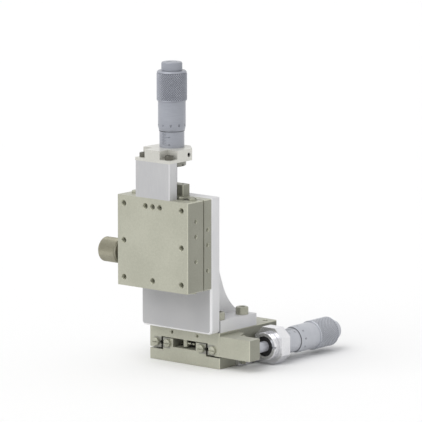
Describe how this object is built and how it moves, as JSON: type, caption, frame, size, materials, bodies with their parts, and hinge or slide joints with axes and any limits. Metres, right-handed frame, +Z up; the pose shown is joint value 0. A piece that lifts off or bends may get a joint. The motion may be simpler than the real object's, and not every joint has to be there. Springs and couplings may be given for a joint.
{
  "type": "linear translation stage",
  "caption": "Upright two-axis crossed-roller stage: two square slides joined by an angle bracket, each driven by a micrometer head, with lock knobs.",
  "frame": {"origin": "centre of the underside of the lower base", "axes": "+Z up, +Y the travel of the lower stage, away from the upright table, +X towards the lower micrometer"},
  "size_m": [0.1034, 0.1371, 0.2023],
  "materials": {
    "nickel_plate": "satin electroless nickel",
    "anodised_aluminium": "fine bead-blasted, clear anodised",
    "riser_aluminium": "fine milled, clear anodised",
    "rail_steel": "ground hardened steel",
    "roller_steel": "polished bearing steel",
    "screw_steel": "nickel-plated screws",
    "satin_chrome": "satin chrome",
    "knob_nickel": "knurled, dark nickel",
    "brass": "plain brass",
    "spring_steel": "dark music wire",
    "black_screws": "black oxide"
  },
  "bodies": {
    "base": {"lower_base": "nickel_plate", "lower_inner_rails": "rail_steel", "lower_inner_rail_screws": "screw_steel", "lower_inner_stop_screws": "screw_steel", "lower_spring_pin": "screw_steel", "lower_holder": "nickel_plate", "lower_holder_screws": "screw_steel", "lower_set_screw": "black_screws", "lower_sleeve": "satin_chrome", "lower_feed_nut": "brass", "lower_ring_nut": "satin_chrome"},
    "lower_roller_set": {"lower_roller_cages": "brass", "lower_rollers": "roller_steel"},
    "lower_carriage": {"lower_table": "nickel_plate", "lower_outer_rails": "rail_steel", "lower_outer_rail_screws": "screw_steel", "lower_outer_stop_screws": "screw_steel", "lower_spring_peg": "screw_steel", "lower_lock_pad": "brass", "lower_return_spring": "spring_steel", "lower_anvil": "nickel_plate", "lower_anvil_screws": "screw_steel", "angle_bracket": "anodised_aluminium", "bracket_foot_screws": "screw_steel", "bracket_wall_screws": "screw_steel", "upper_base": "nickel_plate", "upper_inner_rails": "rail_steel", "upper_inner_rail_screws": "screw_steel", "upper_inner_stop_screws": "screw_steel", "upper_spring_pin": "screw_steel", "upper_anvil": "nickel_plate", "upper_anvil_screws": "screw_steel"},
    "lower_feed": {"lower_spindle": "satin_chrome", "lower_ratchet_screw": "satin_chrome"},
    "lower_thimble_set": {"lower_thimble": "satin_chrome"},
    "lower_ratchet_set": {"lower_ratchet_cap": "satin_chrome"},
    "lower_lock": {"lower_lock_knob": "knob_nickel"},
    "upper_roller_set": {"upper_roller_cages": "brass", "upper_rollers": "roller_steel"},
    "upper_carriage": {"upper_table": "nickel_plate", "upper_outer_rails": "rail_steel", "upper_outer_rail_screws": "screw_steel", "upper_outer_stop_screws": "screw_steel", "upper_spring_peg": "screw_steel", "upper_lock_pad": "brass", "upper_return_spring": "spring_steel", "upper_riser": "riser_aluminium", "upper_holder": "nickel_plate", "upper_riser_screws": "screw_steel", "upper_set_screw": "black_screws", "upper_sleeve": "satin_chrome", "upper_feed_nut": "brass", "upper_ring_nut": "satin_chrome"},
    "upper_feed": {"upper_spindle": "satin_chrome", "upper_ratchet_screw": "satin_chrome"},
    "upper_thimble_set": {"upper_thimble": "satin_chrome"},
    "upper_ratchet_set": {"upper_ratchet_cap": "satin_chrome"},
    "upper_lock": {"upper_lock_knob": "knob_nickel"}
  },
  "joints": [
    {"name": "lower_thimble_turn", "type": "hinge", "parent": "lower_feed", "child": "lower_thimble_set", "pos_m": [0.043, 0.03, 0.0123], "axis": [0, 1, 0], "range_deg": [-4680, 4680]},
    {"name": "lower_slide", "type": "slide", "parent": "base", "child": "lower_carriage", "axis": [0, 1, 0], "range_m": [-0.0065, 0.0065], "deforming": ["lower_return_spring"]},
    {"name": "lower_roller_creep", "type": "slide", "parent": "base", "child": "lower_roller_set", "axis": [0, 1, 0], "range_m": [-0.00325, 0.00325]},
    {"name": "lower_spindle_feed", "type": "slide", "parent": "base", "child": "lower_feed", "axis": [0, 1, 0], "range_m": [-0.0065, 0.0065]},
    {"name": "lower_ratchet_turn", "type": "hinge", "parent": "lower_thimble_set", "child": "lower_ratchet_set", "pos_m": [0.043, 0.071, 0.0123], "axis": [0, 1, 0], "continuous": true},
    {"name": "lower_lock_turn", "type": "hinge", "parent": "lower_carriage", "child": "lower_lock", "pos_m": [-0.04, 0.0095, 0.0156], "axis": [1, 0, 0], "range_deg": [-180, 100]},
    {"name": "upper_thimble_turn", "type": "hinge", "parent": "upper_feed", "child": "upper_thimble_set", "pos_m": [0, -0.0425, 0.158], "axis": [0, 0, 1], "range_deg": [-4680, 4680]},
    {"name": "upper_slide", "type": "slide", "parent": "lower_carriage", "child": "upper_carriage", "axis": [0, 0, 1], "range_m": [-0.0065, 0.0065], "deforming": ["upper_return_spring"]},
    {"name": "upper_roller_creep", "type": "slide", "parent": "lower_carriage", "child": "upper_roller_set", "axis": [0, 0, 1], "range_m": [-0.00325, 0.00325]},
    {"name": "upper_spindle_feed", "type": "slide", "parent": "upper_carriage", "child": "upper_feed", "axis": [0, 0, 1], "range_m": [-0.0065, 0.0065]},
    {"name": "upper_ratchet_turn", "type": "hinge", "parent": "upper_thimble_set", "child": "upper_ratchet_set", "pos_m": [0, -0.0425, 0.199], "axis": [0, 0, 1], "continuous": true},
    {"name": "upper_lock_turn", "type": "hinge", "parent": "upper_carriage", "child": "upper_lock", "pos_m": [-0.04, -0.0541, 0.075], "axis": [1, 0, 0], "range_deg": [-180, 100]}
  ],
  "couplings": [
    {"joint": "lower_thimble_turn", "follows": "lower_slide", "rad_per_m": 12566},
    {"joint": "lower_roller_creep", "follows": "lower_slide", "ratio": 0.5},
    {"joint": "lower_spindle_feed", "follows": "lower_slide", "ratio": 1},
    {"joint": "upper_thimble_turn", "follows": "upper_slide", "rad_per_m": -12566},
    {"joint": "upper_roller_creep", "follows": "upper_slide", "ratio": 0.5},
    {"joint": "upper_spindle_feed", "follows": "upper_slide", "ratio": -1}
  ]
}
